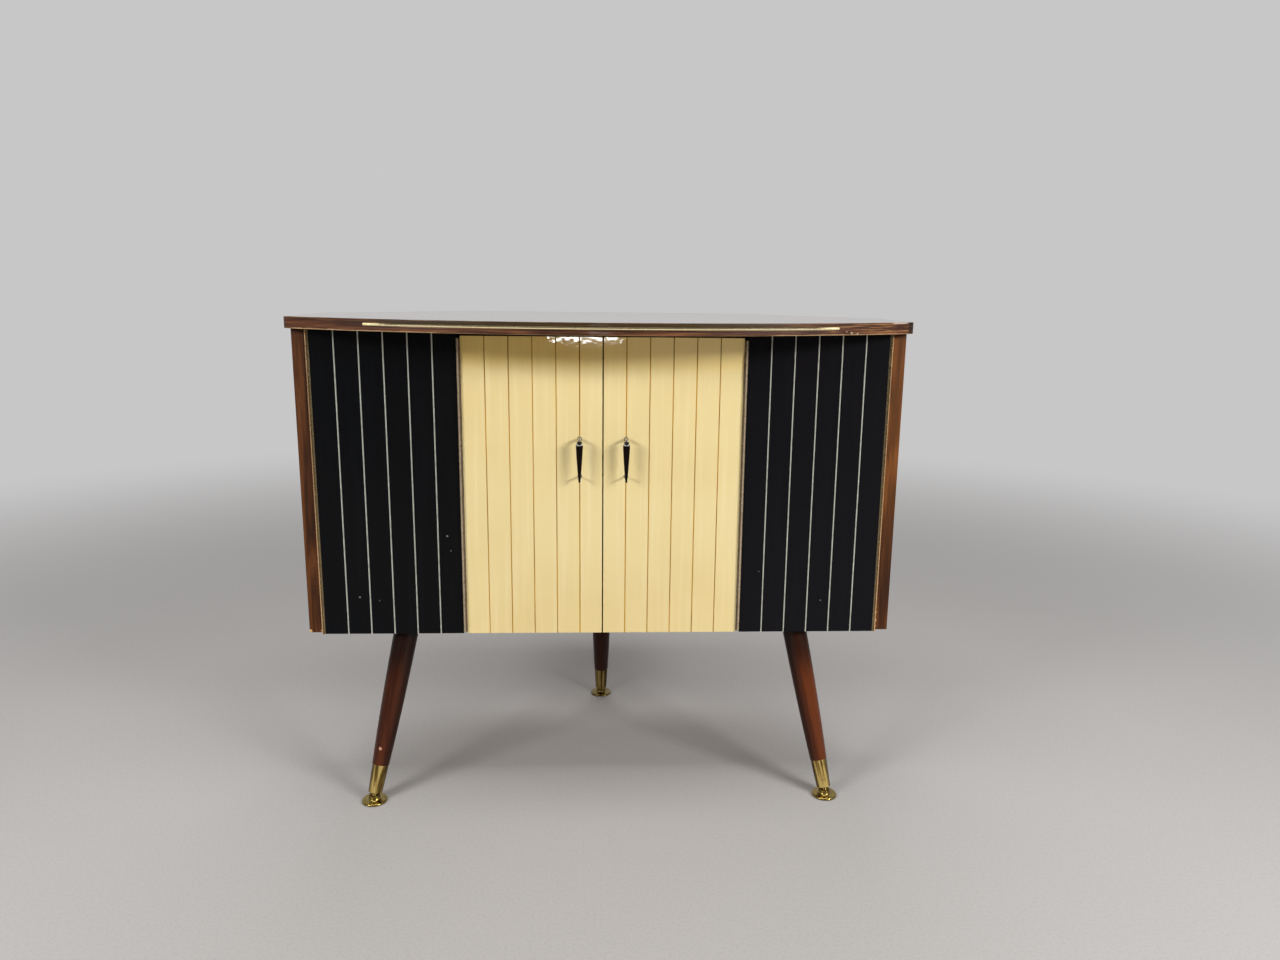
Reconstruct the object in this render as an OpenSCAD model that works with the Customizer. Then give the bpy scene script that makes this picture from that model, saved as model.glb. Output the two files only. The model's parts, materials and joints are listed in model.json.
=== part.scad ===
// Corner television cabinet on three splayed legs, with two hinged doors between fixed panels.
// The front plane of the doors is Y = 0 before the whole is centred over the floor.

/* [Carcass] */
// Width over the two side panels
body_w = 821; // [790:1:880]
// Depth from the front plane to the outside of the rear board
body_d = 342; // [330:1:370]
// Depth of the straight part of each side, before the wall turns towards the rear
side_d = 151; // [138:1:170]
// Height of the front's lower edge above the floor
leg_h = 250; // [225:1:280]
// Height of the front, from its lower edge to the underside of the top board
front_h = 424.6; // [390:0.2:470]
// Thickness of the two side panels
side_t = 17.8; // [14:0.2:19]
// Thickness of the fixed front panels, and the depth of the door opening
front_t = 16; // [14:0.5:19]
// Thickness of the bottom board
base_t = 16; // [13:0.5:20]
// Thickness of the three back boards
back_t = 8; // [5:0.5:12]
// Height of the sides' lower edge above the front's lower edge
side_lift = 1.7; // [0.5:0.1:4]
// Setback of the sides' front edges behind the front plane
side_back = 2; // [0.5:0.5:6]

/* [Top board] */
// Thickness of the top board
top_t = 15.4; // [12:0.2:22]
// How far the top laps over the sides and the rear
top_lap = 4.5; // [2:0.5:10]
// How far the ends of the top's front edge stand ahead of the front plane
top_ahead = 12; // [8:1:24]
// How far the top's front edge bows out beyond its ends
top_bow = 124; // [90:1:140]
// Radius of the top's two front corners
top_corner_r = 9; // [3:0.5:12]
// Chord of the brass inlay let into the top's front edge
inlay_w = 595; // [400:5:720]
// Height of the brass inlay
inlay_h = 3; // [2:0.2:6]
// Depth of the groove that holds the brass inlay
inlay_groove = 1.5; // [1:0.1:3]
// How far the brass inlay's round face stands out of the top's edge
inlay_proud = 0.8; // [0.4:0.1:1.2]

/* [Doors and panels] */
// Distance between the two door hinges' pins
hinge_span = 385; // [360:1:420]
// Gap between the two closed doors
door_gap = 1.8; // [1.6:0.1:4]
// Gap above the doors
door_top_gap = 8.4; // [1:0.2:12]
// Gap between a closed door's back and the carcass that stops it
door_stop_gap = 0.5; // [0.3:0.1:1]
// Number of boards that each door and each fixed panel shows
boards = 6; // [4:1:8]
// Width of the grooves between the boards of a door
groove_w = 1.2; // [1:0.1:2.5]
// Depth of the grooves between the boards of a door
groove_d = 1; // [0.5:0.1:2]
// Width of the metal strips between the boards of a fixed panel
strip_w = 1.6; // [1.2:0.1:3]
// Width left open on each side of a metal strip
strip_margin = 0.4; // [0.2:0.1:0.8]
// Depth of the slots that hold the metal strips
strip_d = 1.4; // [1:0.1:2]
// How far the metal strips stand out of their panel
strip_proud = 0.3; // [0.1:0.1:0.6]
// Width of the brass moulding between a fixed panel and its side
moulding_w = 4.8; // [4:0.2:8]
// Depth of the rebate that holds the brass moulding
moulding_d = 6; // [4:0.5:9]
// How far the moulding's round face stands out of its panel
moulding_proud = 0.8; // [0.4:0.1:1.2]

/* [Piano hinges] */
// Outer radius of the hinge's knuckles
barrel_r = 2.5; // [2.2:0.1:3]
// Radius of the hinge pin
hinge_pin_r = 1.2; // [0.9:0.1:1.4]
// Radial clearance of the pin in the knuckles
pin_play = 0.05; // [0.02:0.01:0.1]
// Thickness of the hinge leaves
leaf_t = 0.9; // [0.6:0.1:1]
// How far the hinge pin's centre stands ahead of the front plane
pin_ahead = 1.5; // [1.5:0.1:2.5]
// Number of knuckles along one hinge, shared between its two leaves
knuckles = 17; // [9:2:25]
// Gap between one knuckle and the next
knuckle_gap = 0.4; // [0.3:0.1:0.8]
// Distance from the hinge's ends to the door's ends
hinge_end = 3; // [1:0.5:10]

/* [Handles] */
// Height of the handles' middle above the front's lower edge
handle_z = 250; // [180:1:280]
// Distance from the door's face to the middle of the grip
handle_stand = 18; // [14:0.5:24]
// Length of the tapered grip
grip_l = 50; // [40:1:70]
// Radius of the grip at its upper end
grip_r = 4.9; // [3.5:0.1:5.5]
// Radius of the grip at its tip
grip_tip_r = 1.4; // [0.8:0.1:2]
// Swell of the grip's outline beyond a straight taper
grip_swell = 0.3; // [0:0.1:0.6]
// Height of the metal collar on top of the grip
collar_h = 4.6; // [3:0.2:8]
// Radius of the upper arm's rod
arm_r = 2.2; // [1.6:0.1:2.8]
// Radius of the upper arm's bend
arm_bend = 3.6; // [3.2:0.2:6]
// Radius of the lower arm's rod
lower_arm_r = 1.4; // [1:0.1:1.8]
// Height of the lower arm above the grip's tip
lower_arm_z = 4; // [3.5:0.5:12]
// Radius of the rosettes under the arms
rosette_r = 3.4; // [3.2:0.2:7]
// Thickness of the rosettes
rosette_t = 1.5; // [1:0.1:3]

/* [Legs and glides] */
// Distance from the outside of the body to the middle of a front foot
foot_in = 82.5; // [60:0.5:100]
// How far the front feet's middles stand ahead of the front plane
foot_ahead = 14; // [6:1:20]
// How far the rear foot's middle stands behind the rear board
foot_behind = 4; // [0:1:8]
// Sideways splay of the front legs
splay_out = 10.8; // [6:0.2:14]
// Forward splay of the front legs
splay_ahead = 12.9; // [9:0.1:15]
// Backward splay of the rear leg
splay_rear = 12; // [6:0.5:15]
// Radius of a leg at its upper end
leg_top_r = 17.3; // [15:0.1:19]
// Radius of a leg where it meets its ferrule
leg_low_r = 12.1; // [10:0.1:13]
// Swell of a leg's outline beyond a straight taper
leg_swell = 1.1; // [0:0.1:2]
// Length of the brass ferrules
ferrule_l = 41; // [30:1:55]
// Outer radius of a ferrule at its lower end
ferrule_low_r = 10; // [8.4:0.1:11]
// Wall of the ferrules
ferrule_t = 0.8; // [0.6:0.1:1.4]
// Radius of the glide discs
glide_r = 18; // [15:0.5:22]
// Thickness of the glide discs at the rim
glide_t = 4; // [3:0.5:5]
// Radius of the hub that holds the ball
hub_r = 8; // [7:0.5:9]
// Radius of the ball on which a glide swivels
ball_r = 5; // [4.5:0.1:5.5]
// Radial clearance of the ball in its socket
ball_play = 0.1; // [0.05:0.05:0.2]
// Radius of the stem that carries the ball
stem_r = 3; // [2.5:0.1:3.2]
// Length of the stem from the ball's centre into the leg
stem_l = 38; // [25:1:45]
// Width of the square steel plates above the legs
plate_w = 56; // [50:1:64]
// Thickness of the steel plates above the legs
plate_t = 2.5; // [1.5:0.5:4]

/* [Inside] */
// Height of the shelf's upper face above the front's lower edge
shelf_z = 214; // [150:1:260]
// Thickness of the shelf
shelf_t = 12; // [9:0.5:18]
// Distance from the front plane to the shelf's front edge
shelf_front = 60; // [40:1:80]
// Gap between the shelf and the walls
shelf_gap = 0.5; // [0.3:0.1:2]
// Section of the cleats under the shelf and the top
cleat = 15; // [10:1:20]
// Length of the glued faces of the corner battens
batten = 22; // [16:1:26]
// Height of the rail above the doors
rail_h = 40; // [25:1:60]
// Thickness of the rail above the doors
rail_t = 18; // [12:1:22]
// Distance from the doors' meeting line to the middle of a catch
catch_x = 38; // [25:1:60]
// Width of a magnetic catch
catch_w = 36; // [24:1:46]
// Height of a magnetic catch
catch_h = 12; // [8:1:16]

/* [Hidden] */

// Sides of the mirrored pieces, and the middle
left = -1;
right = 1;
middle = 0;

// Levels
base_z = leg_h + side_lift;
floor_z = base_z + base_t;
under_z = leg_h + front_h;
door_h = front_h - door_top_gap;
shelf_top = leg_h + shelf_z;
rail_z = under_z - rail_h;

// Plan of the carcass, whose walls turn by half of a room's square corner
wall_x = body_w / 2;
in_x = wall_x - side_t;
rear_x = wall_x + side_d - body_d;
in_rear_y = body_d - back_t;
back_line = wall_x + side_d - back_t * sqrt(2);
in_rear_x = back_line - in_rear_y;
knee_y = back_line - in_x;
wall_l = (in_x - in_rear_x) * sqrt(2);
batten_gap = 2;

// Plan of the top board
top_x = wall_x + top_lap;
top_turn = side_d + top_lap * (sqrt(2) - 1);
top_rear_y = body_d + top_lap;
top_rear_x = top_x + top_turn - top_rear_y;
arc_r = (top_x * top_x + top_bow * top_bow) / (2 * top_bow);
arc_y = arc_r - top_bow - top_ahead;
// The round corners stand this far over the arc, so that the two curves cross
corner_over = 0.02;
corner_x = top_x - top_corner_r;
corner_y = arc_y - sqrt(pow(arc_r - top_corner_r + corner_over, 2) - pow(corner_x, 2));
arc_end_x = corner_x * arc_r / (arc_r - top_corner_r);
inlay_angle = asin(inlay_w / 2 / arc_r);
inlay_share = 0.56;
inlay_z = under_z + top_t * inlay_share;
inlay_seat = 0.1;
arc_faces = 720;

// Sections of the strips with a round face, which leaves a narrow shoulder on both sides
shoulder = 0.2;
section_faces = 48;

// Doors, panels and hinges
hinge_x = hinge_span / 2;
leaf_x = barrel_r - 0.05;
door_x = hinge_x - leaf_x;
panel_x = hinge_x + leaf_x;
panel_end = in_x - moulding_w;
door_pitch = door_x / boards;
panel_pitch = (panel_end - panel_x) / boards;
door_t = front_t - door_stop_gap;
slot_w = strip_w + 2 * strip_margin;
bore_r = hinge_pin_r + pin_play;
hinge_z = leg_h + hinge_end;
hinge_l = door_h - 2 * hinge_end;
knuckle_pitch = hinge_l / knuckles;
leaf_clear = barrel_r + 0.4;
leaf_depth = pin_ahead + door_t - 1.5;

// Handles
grip_top = grip_l - (grip_l + collar_h) / 2;
grip_tip = grip_top - grip_l;
collar_r = grip_r + 0.3;
bend_in_collar = 2.2;
arm_z = grip_top + collar_h + arm_bend - bend_in_collar;
seat = 0.1;
taper_steps = 12;

// Catches
strike_t = 1;
strike_margin = 5;
catch_gap = 0.5;
catch_d = 13;
strike_w = catch_w - 2 * strike_margin;
strike_h = catch_h - catch_gap;
catch_front = door_t + strike_t + catch_gap;

// Distance from the shelf's front edge to its cleats
cleat_back = 5;

// Glides, whose balls lie at the lower end of each leg's own axis
ball_floor = 3.4;
ball_z = ball_r + ball_play + ball_floor;
hub_top = ball_z + ball_r / 2;
hub_fillet = 4;
tilt_limit = 22;
hub_clear = 0.7;
ferrule_z = hub_r * sin(tilt_limit) + ball_r / 2 * cos(tilt_limit) + hub_clear;
ferrule_base = 1.2;
ferrule_top_z = ferrule_z + ferrule_l;
ferrule_top_r = leg_low_r - 0.3;
stem_fit = 0.05;

// Legs
foot_x = wall_x - foot_in;
rear_foot_y = body_d + foot_behind;
plate_z = base_z - plate_t;
plate_gap = 3;
boss_r = leg_top_r + 1.7;
boss_min = 1.5;
stud_r = 4;
stud_up = 7;
stud_down = 26;

// The whole stands centred over the origin
front_reach = -top_ahead - top_bow - inlay_proud;
rear_reach = max(top_rear_y, rear_foot_y + glide_r);
centre_y = (front_reach + rear_reach) / 2;

$fn = 64;

function foot_y(side) = side == middle ? rear_foot_y : -foot_ahead;
function lean(side) = side == middle
    ? splay_rear
    : atan(sqrt(pow(tan(splay_out), 2) + pow(tan(splay_ahead), 2)));
function heading(side) = side == middle
    ? 90
    : 90 - side * (90 + atan(tan(splay_ahead) / tan(splay_out)));
function leg_top(side) =
    (plate_z - boss_min - ball_z - leg_top_r * sin(lean(side))) / cos(lean(side));
function swelling(low_r, top_r, swell, share) =
    low_r + (top_r - low_r) * share + 4 * swell * share * (1 - share);
function wall_run(side) = (base_z - ball_z) * tan(lean(side));
function head_x(side) = side * foot_x - wall_run(side) * cos(heading(side));
function head_y(side) = foot_y(side) - wall_run(side) * sin(heading(side));
function room(front, gap) = let (
    x = in_x - gap,
    y = in_rear_y - gap,
    line = back_line - gap * sqrt(2)
) [
    [-x, front],
    [x, front],
    [x, line - x],
    [line - y, y],
    [y - line, y],
    [-x, line - x]
];

// Moves a piece from the front plane's frame to the finished place, mirrored for the left
module placed(side = right) {
    translate([0, -centre_y, 0])
        if (side == left) mirror([1, 0, 0]) children();
        else children();
}

// Stands children on a leg's axis, with the glide's ball at the origin
module along_leg(side) {
    translate([side * foot_x, foot_y(side), ball_z])
        rotate([0, 0, heading(side)])
            rotate([0, -lean(side), 0]) children();
}

module upright(from, to) {
    translate([0, 0, from]) linear_extrude(to - from) children();
}

module big_arc() {
    translate([0, arc_y]) circle(arc_r, $fn = arc_faces);
}

// Plan of the top board: a bowed front with round corners, and walls that fit a room's corner
module top_plan() {
    intersection() {
        big_arc();
        translate([-arc_end_x, front_reach - 1])
            square([2 * arc_end_x, corner_y - front_reach + 1]);
    }
    for (s = [left, right]) translate([s * corner_x, corner_y]) circle(top_corner_r);
    polygon([
        [-top_x, corner_y],
        [top_x, corner_y],
        [top_x, top_turn],
        [top_rear_x, top_rear_y],
        [-top_rear_x, top_rear_y],
        [-top_x, top_turn]
    ]);
}

// Section of a strip: a plain tongue let in behind Y = 0, and a round face in front of it
module strip_section(width, depth, proud) {
    chord = width / 2 - shoulder;
    face_r = (pow(chord, 2) + pow(proud, 2)) / (2 * proud);
    square([width, depth]);
    intersection() {
        translate([shoulder / 2, -proud]) square([width - shoulder, proud + depth / 2]);
        translate([width / 2, face_r - proud]) circle(face_r, $fn = section_faces);
    }
}

// Sweeps a section along the top's front edge; its width runs upwards, its depth into the board
module front_band() {
    translate([0, arc_y, inlay_z - inlay_h / 2])
        rotate([0, 0, -90 - inlay_angle])
            rotate_extrude(angle = 2 * inlay_angle, $fn = arc_faces)
                translate([arc_r, 0]) rotate([0, 0, 90]) children();
}

module top_board() {
    color("saddlebrown") placed() difference() {
        upright(under_z, under_z + top_t) top_plan();
        front_band() translate([0, -1]) square([inlay_h, inlay_groove + 1]);
    }
}

module top_inlay() {
    color("gold") placed()
        front_band() strip_section(inlay_h, inlay_groove - inlay_seat, inlay_proud);
}

module side_panel(side) {
    color("sienna") placed(side) upright(base_z, under_z) polygon([
        [in_x, side_back],
        [wall_x, side_back],
        [wall_x, side_d],
        [in_x, side_d + side_t]
    ]);
}

module back_board(side) {
    color("peru") placed(side) upright(base_z, under_z) polygon([
        [in_x, side_d + side_t],
        [rear_x + back_t, in_rear_y],
        [in_rear_x, in_rear_y],
        [in_x, knee_y]
    ]);
}

module rear_board() {
    color("peru") placed() upright(base_z, under_z) polygon([
        [-rear_x, body_d],
        [rear_x, body_d],
        [rear_x + back_t, in_rear_y],
        [-rear_x - back_t, in_rear_y]
    ]);
}

module bottom_board() {
    color("tan") placed() upright(base_z, floor_z) polygon(room(front_t, 0));
}

module top_rail() {
    length = 2 * (in_x - batten);
    color("tan") placed()
        translate([-length / 2, front_t, rail_z]) cube([length, rail_t, rail_h]);
}

module front_batten(side) {
    color("burlywood") placed(side)
        translate([in_x - batten, front_t, floor_z]) cube([batten, batten, under_z - floor_z]);
}

// Glue block in the angle between a side and its back board
module back_batten_plan(face) {
    reach = face / sqrt(2);
    polygon([
        [in_x, knee_y],
        [in_x, knee_y - face],
        [in_x - reach, knee_y + reach]
    ]);
}

// Glue block in the angle between a back board and the rear board
module rear_batten_plan(face) {
    reach = face / sqrt(2);
    polygon([
        [in_rear_x, in_rear_y],
        [in_rear_x + reach, in_rear_y - reach],
        [in_rear_x - face, in_rear_y]
    ]);
}

module back_batten(side) {
    color("burlywood") placed(side) upright(floor_z, under_z) back_batten_plan(batten);
}

module rear_batten(side) {
    color("burlywood") placed(side) upright(floor_z, under_z) rear_batten_plan(batten);
}

module top_cleat(side) {
    from = batten + batten_gap;
    color("burlywood") placed(side)
        translate([in_x, knee_y, under_z - cleat])
            rotate([0, 0, 135])
                translate([from, 0, 0]) cube([wall_l - 2 * from, cleat, cleat]);
}

module shelf() {
    color("tan") placed() upright(shelf_top - shelf_t, shelf_top) difference() {
        polygon(room(shelf_front, shelf_gap));
        for (s = [0, 1]) mirror([s, 0]) {
            back_batten_plan(batten + batten_gap);
            rear_batten_plan(batten + batten_gap);
        }
    }
}

module shelf_cleat(side) {
    from = shelf_front + cleat_back;
    color("burlywood") placed(side)
        translate([in_x - cleat, from, shelf_top - shelf_t - cleat])
            cube([cleat, knee_y - batten - batten_gap - from, cleat]);
}

module shelf_cleat_rear() {
    reach = in_rear_x - batten - batten_gap;
    color("burlywood") placed()
        translate([-reach, in_rear_y - cleat, shelf_top - shelf_t - cleat])
            cube([2 * reach, cleat, cleat]);
}

// Fixed panel beside a door, slotted for its metal strips and rebated for the moulding
module front_panel(side) {
    color("black") placed(side) difference() {
        translate([panel_x, 0, leg_h]) cube([in_x - panel_x, front_t, front_h]);
        translate([panel_end, -1, leg_h - 1]) cube([moulding_w + 1, moulding_d + 1, front_h + 2]);
        for (i = [1:boards - 1])
            translate([panel_x + i * panel_pitch - slot_w / 2, -1, leg_h - 1])
                cube([slot_w, strip_d + 1, front_h + 2]);
    }
}

module panel_strips(side) {
    color("khaki") placed(side) for (i = [1:boards - 1])
        translate([panel_x + i * panel_pitch - strip_w / 2, -strip_proud, leg_h])
            cube([strip_w, strip_d + strip_proud, front_h]);
}

module edge_moulding(side) {
    color("goldenrod") placed(side)
        translate([panel_end, 0]) upright(leg_h, under_z)
            strip_section(moulding_w, moulding_d, moulding_proud);
}

// Door of grooved boards, which hangs between its hinge and the meeting line
module door(side) {
    color("lemonchiffon") placed(side) difference() {
        translate([door_gap / 2, 0, leg_h]) cube([door_x - door_gap / 2, door_t, door_h]);
        for (i = [1:boards - 1])
            translate([i * door_pitch - groove_w / 2, -1, leg_h - 1])
                cube([groove_w, groove_d + 1, door_h + 2]);
    }
}

// One leaf of a piano hinge, which holds every second knuckle, with its pin on the Z axis
module hinge_leaf(first) {
    difference() {
        union() {
            translate([-leaf_x, leaf_clear, 0]) cube([leaf_t, leaf_depth - leaf_clear, hinge_l]);
            for (i = [first:2:knuckles - 1])
                translate([0, 0, i * knuckle_pitch + knuckle_gap / 2]) {
                    cylinder(r = barrel_r, h = knuckle_pitch - knuckle_gap);
                    translate([-leaf_x, 0, 0])
                        cube([leaf_t, leaf_clear + 1, knuckle_pitch - knuckle_gap]);
                }
        }
        translate([0, 0, -1]) cylinder(r = bore_r, h = hinge_l + 2);
    }
}

module at_hinge(side) {
    placed(side) translate([hinge_x, -pin_ahead, hinge_z]) children();
}

module hinge_door_leaf(side) {
    color("darkgoldenrod") at_hinge(side) hinge_leaf(1);
}

module hinge_panel_leaf(side) {
    color("darkgoldenrod") at_hinge(side) mirror([1, 0, 0]) hinge_leaf(0);
}

module hinge_pin(side) {
    color("gray") at_hinge(side) cylinder(r = hinge_pin_r, h = hinge_l);
}

// Moves children to a handle, with its grip's axis on Z and the door's face behind it
module at_handle(side) {
    placed(side) translate([door_pitch, -handle_stand, leg_h + handle_z]) children();
}

// Swelling taper of the grip, made wider by a seat where an arm is fitted against it
module grip_taper(wider) {
    translate([0, 0, grip_tip]) rotate_extrude() polygon(concat(
        [[0, 0]],
        [for (i = [0:taper_steps])
            [swelling(grip_tip_r, grip_r, grip_swell, i / taper_steps) + wider,
                grip_l * i / taper_steps]],
        [[0, grip_l]]
    ));
}

module handle_grip(side) {
    color("black") at_handle(side) {
        grip_taper(0);
        translate([0, 0, grip_tip]) sphere(grip_tip_r);
    }
}

// Upper arm with its collar and bend, and the lower arm that meets the grip near its tip
module handle_arms(side) {
    color("silver") at_handle(side) {
        translate([0, 0, grip_top]) cylinder(r1 = collar_r, r2 = arm_r + 1, h = collar_h);
        translate([0, 0, grip_top + 1]) cylinder(r = arm_r, h = arm_z - arm_bend - grip_top - 1);
        translate([0, arm_bend, arm_z - arm_bend])
            rotate([90, 0, -90])
                rotate_extrude(angle = 90) translate([arm_bend, 0]) circle(arm_r);
        translate([0, arm_bend, arm_z])
            rotate([-90, 0, 0]) cylinder(r = arm_r, h = handle_stand - arm_bend);
        rosette(arm_z);
        difference() {
            translate([0, 0, grip_tip + lower_arm_z])
                rotate([-90, 0, 0]) cylinder(r = lower_arm_r, h = handle_stand);
            grip_taper(seat);
        }
        rosette(grip_tip + lower_arm_z);
    }
}

module rosette(z) {
    translate([0, handle_stand - rosette_t, z])
        rotate([-90, 0, 0]) cylinder(r1 = rosette_r - 1, r2 = rosette_r, h = rosette_t);
}

// Magnetic catch under the rail, and the steel plate on the door that it holds
module catch(side) {
    color("dimgray") placed(side)
        translate([catch_x - catch_w / 2, catch_front, rail_z - catch_h])
            cube([catch_w, catch_d, catch_h]);
}

module strike(side) {
    color("gainsboro") placed(side)
        translate([catch_x - strike_w / 2, door_t, rail_z - catch_h])
            cube([strike_w, strike_t, strike_h]);
}

// Turned leg: a swelling taper, a tenon for the ferrule, and bores for its stud and stem
module leg(side) {
    height = leg_top(side);
    span = height - ferrule_top_z;
    color("brown") placed() along_leg(side) difference() {
        rotate_extrude() polygon(concat(
            [[0, ferrule_z + ferrule_base]],
            [[ferrule_low_r - ferrule_t - seat, ferrule_z + ferrule_base]],
            [[ferrule_top_r - ferrule_t - seat, ferrule_top_z]],
            [for (i = [0:taper_steps])
                [swelling(leg_low_r, leg_top_r, leg_swell, i / taper_steps),
                    ferrule_top_z + span * i / taper_steps]],
            [[0, height]]
        ));
        cylinder(r = stem_r + stem_fit, h = stem_l + seat);
        translate([0, 0, height - stud_down - seat])
            cylinder(r = stud_r + stem_fit, h = stud_down + 1);
    }
}

// Steel plate with a boss that is cut square to the leg's axis
module leg_plate(side) {
    plate_y = side == middle
        ? head_y(side) - plate_w / 2
        : front_t + plate_gap;
    color("slategray") placed() difference() {
        union() {
            translate([head_x(side) - plate_w / 2, plate_y, plate_z])
                cube([plate_w, plate_w, plate_t]);
            difference() {
                along_leg(side) translate([0, 0, leg_top(side)])
                    cylinder(r = boss_r, h = 2 * boss_r);
                translate([-wall_x, -body_d, plate_z + plate_t / 2])
                    cube([body_w, 3 * body_d, body_d]);
            }
        }
        along_leg(side) translate([0, 0, leg_top(side) - 1])
            cylinder(r = stud_r + stem_fit, h = stud_up + 1 + seat);
    }
}

module leg_studs() {
    color("silver") placed() for (side = [left, middle, right])
        along_leg(side) translate([0, 0, leg_top(side) - stud_down])
            cylinder(r = stud_r, h = stud_down + stud_up);
}

module ferrule(side) {
    color("gold") placed() along_leg(side) rotate_extrude() polygon([
        [stem_r + stem_fit, ferrule_z],
        [ferrule_low_r, ferrule_z],
        [ferrule_top_r, ferrule_top_z],
        [ferrule_top_r - ferrule_t, ferrule_top_z],
        [ferrule_low_r - ferrule_t, ferrule_z + ferrule_base],
        [stem_r + stem_fit, ferrule_z + ferrule_base]
    ]);
}

module glide_stem(side) {
    color("silver") placed() along_leg(side) {
        sphere(ball_r);
        cylinder(r = stem_r, h = stem_l);
    }
}

// Disc that lies flat on the floor, with a filleted hub closed round the ball
module glide(side) {
    rim = glide_t / 2;
    color("gold") placed() translate([side * foot_x, foot_y(side), 0]) difference() {
        rotate_extrude() {
            square([glide_r - rim, glide_t]);
            intersection() {
                translate([glide_r - rim, rim]) circle(rim);
                square([glide_r, glide_t]);
            }
            square([hub_r, hub_top]);
            difference() {
                square([hub_r + hub_fillet, glide_t + hub_fillet]);
                translate([hub_r + hub_fillet, glide_t + hub_fillet]) circle(hub_fillet);
            }
        }
        translate([0, 0, ball_z]) sphere(ball_r + ball_play);
    }
}

top_board();
top_inlay();
side_panel(left);  // side_left
side_panel(right);  // side_right
back_board(left);  // back_left
back_board(right);  // back_right
rear_board();
bottom_board();
top_rail();
front_batten(left);  // front_batten_left
front_batten(right);  // front_batten_right
back_batten(left);  // back_batten_left
back_batten(right);  // back_batten_right
rear_batten(left);  // rear_batten_left
rear_batten(right);  // rear_batten_right
top_cleat(left);  // top_cleat_left
top_cleat(right);  // top_cleat_right
shelf();
shelf_cleat(left);  // shelf_cleat_left
shelf_cleat(right);  // shelf_cleat_right
shelf_cleat_rear();
front_panel(left);  // front_panel_left
front_panel(right);  // front_panel_right
panel_strips(left);  // panel_strips_left
panel_strips(right);  // panel_strips_right
edge_moulding(left);  // edge_moulding_left
edge_moulding(right);  // edge_moulding_right
door(left);  // door_left
door(right);  // door_right
hinge_door_leaf(left);  // hinge_door_leaf_left
hinge_door_leaf(right);  // hinge_door_leaf_right
hinge_panel_leaf(left);  // hinge_panel_leaf_left
hinge_panel_leaf(right);  // hinge_panel_leaf_right
hinge_pin(left);  // hinge_pin_left
hinge_pin(right);  // hinge_pin_right
handle_grip(left);  // handle_grip_left
handle_grip(right);  // handle_grip_right
handle_arms(left);  // handle_arms_left
handle_arms(right);  // handle_arms_right
catch(left);  // catch_left
catch(right);  // catch_right
strike(left);  // strike_left
strike(right);  // strike_right
leg(left);  // leg_front_left
leg(right);  // leg_front_right
leg(middle);  // leg_rear
leg_plate(left);  // leg_plate_front_left
leg_plate(right);  // leg_plate_front_right
leg_plate(middle);  // leg_plate_rear
leg_studs();
ferrule(left);  // ferrule_front_left
ferrule(right);  // ferrule_front_right
ferrule(middle);  // ferrule_rear
glide_stem(left);  // glide_stem_front_left
glide_stem(right);  // glide_stem_front_right
glide_stem(middle);  // glide_stem_rear
glide(left);  // glide_front_left
glide(right);  // glide_front_right
glide(middle);  // glide_rear
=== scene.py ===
import json
import math

import bmesh
import bpy
from mathutils import Matrix, Vector

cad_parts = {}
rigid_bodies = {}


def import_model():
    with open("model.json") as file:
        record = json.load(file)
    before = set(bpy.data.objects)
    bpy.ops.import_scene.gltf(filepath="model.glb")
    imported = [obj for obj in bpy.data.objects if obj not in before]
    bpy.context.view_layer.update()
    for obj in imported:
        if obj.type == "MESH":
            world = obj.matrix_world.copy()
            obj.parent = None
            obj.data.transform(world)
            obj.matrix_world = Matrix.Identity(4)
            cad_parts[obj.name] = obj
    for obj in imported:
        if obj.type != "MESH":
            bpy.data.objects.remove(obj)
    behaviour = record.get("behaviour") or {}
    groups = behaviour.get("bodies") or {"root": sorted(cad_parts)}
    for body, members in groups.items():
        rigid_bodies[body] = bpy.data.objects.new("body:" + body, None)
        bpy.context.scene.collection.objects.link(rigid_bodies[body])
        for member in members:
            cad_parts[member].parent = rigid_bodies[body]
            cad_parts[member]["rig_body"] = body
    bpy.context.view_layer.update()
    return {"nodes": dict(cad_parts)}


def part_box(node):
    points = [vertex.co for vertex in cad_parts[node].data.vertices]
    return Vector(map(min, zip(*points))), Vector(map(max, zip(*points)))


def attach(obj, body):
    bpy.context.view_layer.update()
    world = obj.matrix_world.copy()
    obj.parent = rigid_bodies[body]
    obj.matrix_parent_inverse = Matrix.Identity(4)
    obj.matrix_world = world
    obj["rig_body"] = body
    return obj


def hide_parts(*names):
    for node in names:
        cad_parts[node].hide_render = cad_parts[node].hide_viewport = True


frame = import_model()
mm = 0.001


def paint(red, green, blue):
    # a colour as seen on screen, 0 to 255, turned into light values
    def light(value):
        share = value / 255
        return share / 12.92 if share <= 0.04045 else ((share + 0.055) / 1.055) ** 2.4
    return (light(red), light(green), light(blue), 1)


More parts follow.
